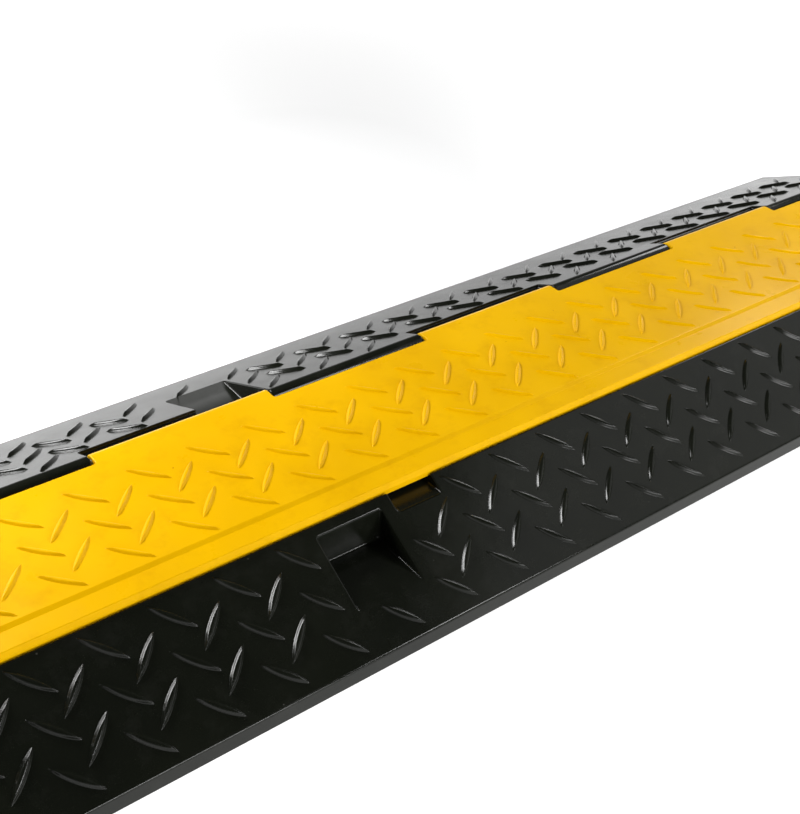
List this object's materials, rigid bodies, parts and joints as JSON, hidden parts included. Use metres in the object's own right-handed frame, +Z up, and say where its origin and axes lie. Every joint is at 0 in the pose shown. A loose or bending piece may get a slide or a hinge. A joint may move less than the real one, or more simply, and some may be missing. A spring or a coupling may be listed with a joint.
{
  "type": "cable protector ramp",
  "caption": "Low rubber drive-over ramp with lengthwise cable channels under a hinged yellow lid, tread bars and hand pockets.",
  "frame": {"origin": "centre of the bounding box at the floor", "axes": "+X along the ramp towards the interlock lugs, +Y across it towards the hinge side, +Z up"},
  "size_m": [1.02, 0.23, 0.0462],
  "materials": {
    "black_rubber": "moulded thermoplastic rubber, low sheen",
    "yellow_plastic": "moulded safety-yellow plastic, satin",
    "rod_steel": "drawn steel rod",
    "black_plastic": "moulded plug"
  },
  "bodies": {
    "base": {"base_moulding": "black_rubber", "hinge_rod": "rod_steel", "rod_plug_left": "black_plastic", "rod_plug_right": "black_plastic"},
    "lid": {"lid_moulding": "yellow_plastic"}
  },
  "joints": [
    {"name": "lid_hinge", "type": "hinge", "parent": "base", "child": "lid", "pos_m": [-0.01, 0.0378, 0.0402], "axis": [-1, 0, 0], "range_deg": [0, 105]}
  ]
}
